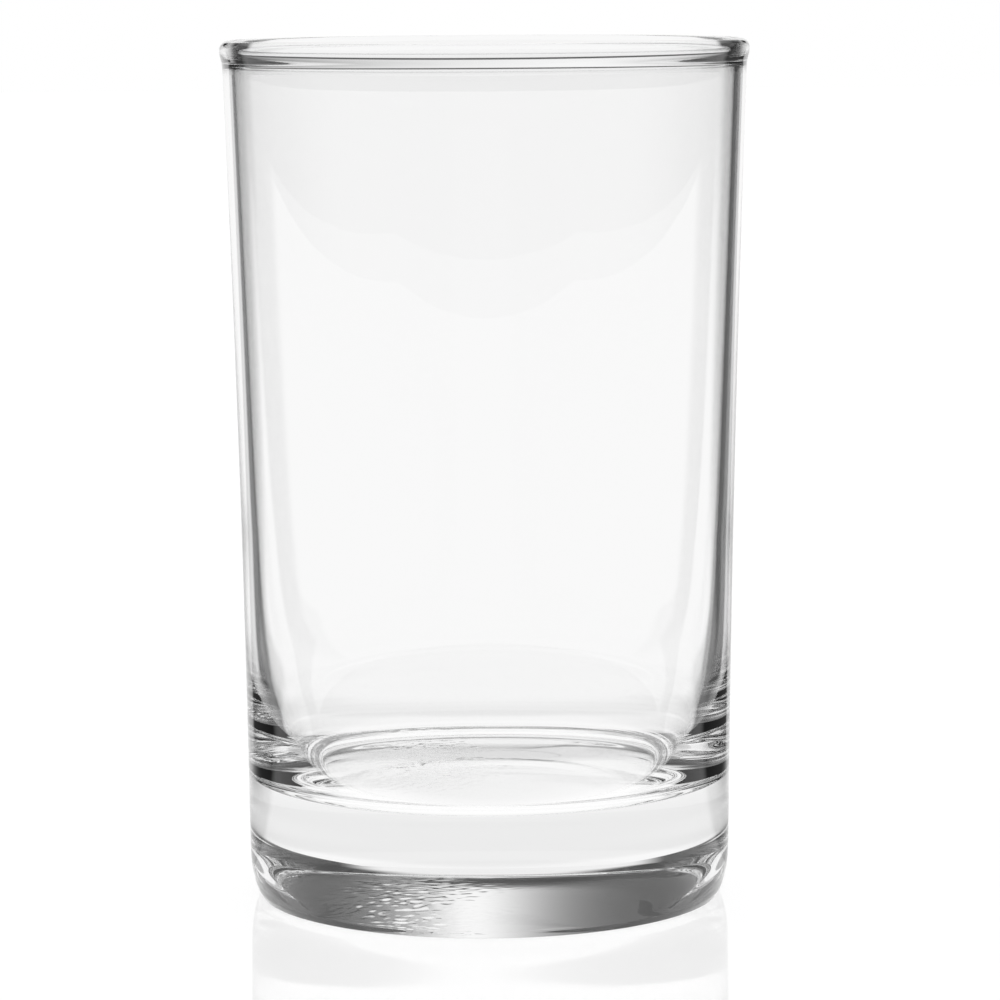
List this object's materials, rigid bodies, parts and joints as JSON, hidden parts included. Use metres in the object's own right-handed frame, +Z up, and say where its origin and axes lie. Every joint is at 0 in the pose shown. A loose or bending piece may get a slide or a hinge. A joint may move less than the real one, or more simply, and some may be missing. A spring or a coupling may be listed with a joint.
{
  "type": "juice glass",
  "caption": "Small clear glass tumbler for juice: gently flared thin wall, rounded bead rim and a thick solid base that keeps it steady.",
  "frame": {"origin": "on the axis of the glass, in the plane of the ring that it stands on", "axes": "+Z up along the axis of the glass, from the base to the rim; X and Y are interchangeable because the glass is round"},
  "size_m": [0.057, 0.057, 0.093],
  "materials": {
    "clear_glass": "clear colourless soda-lime glass, fire-polished, with faint mould ripple in the base"
  },
  "bodies": {
    "root": {"tumbler": "clear_glass"}
  },
  "joints": []
}
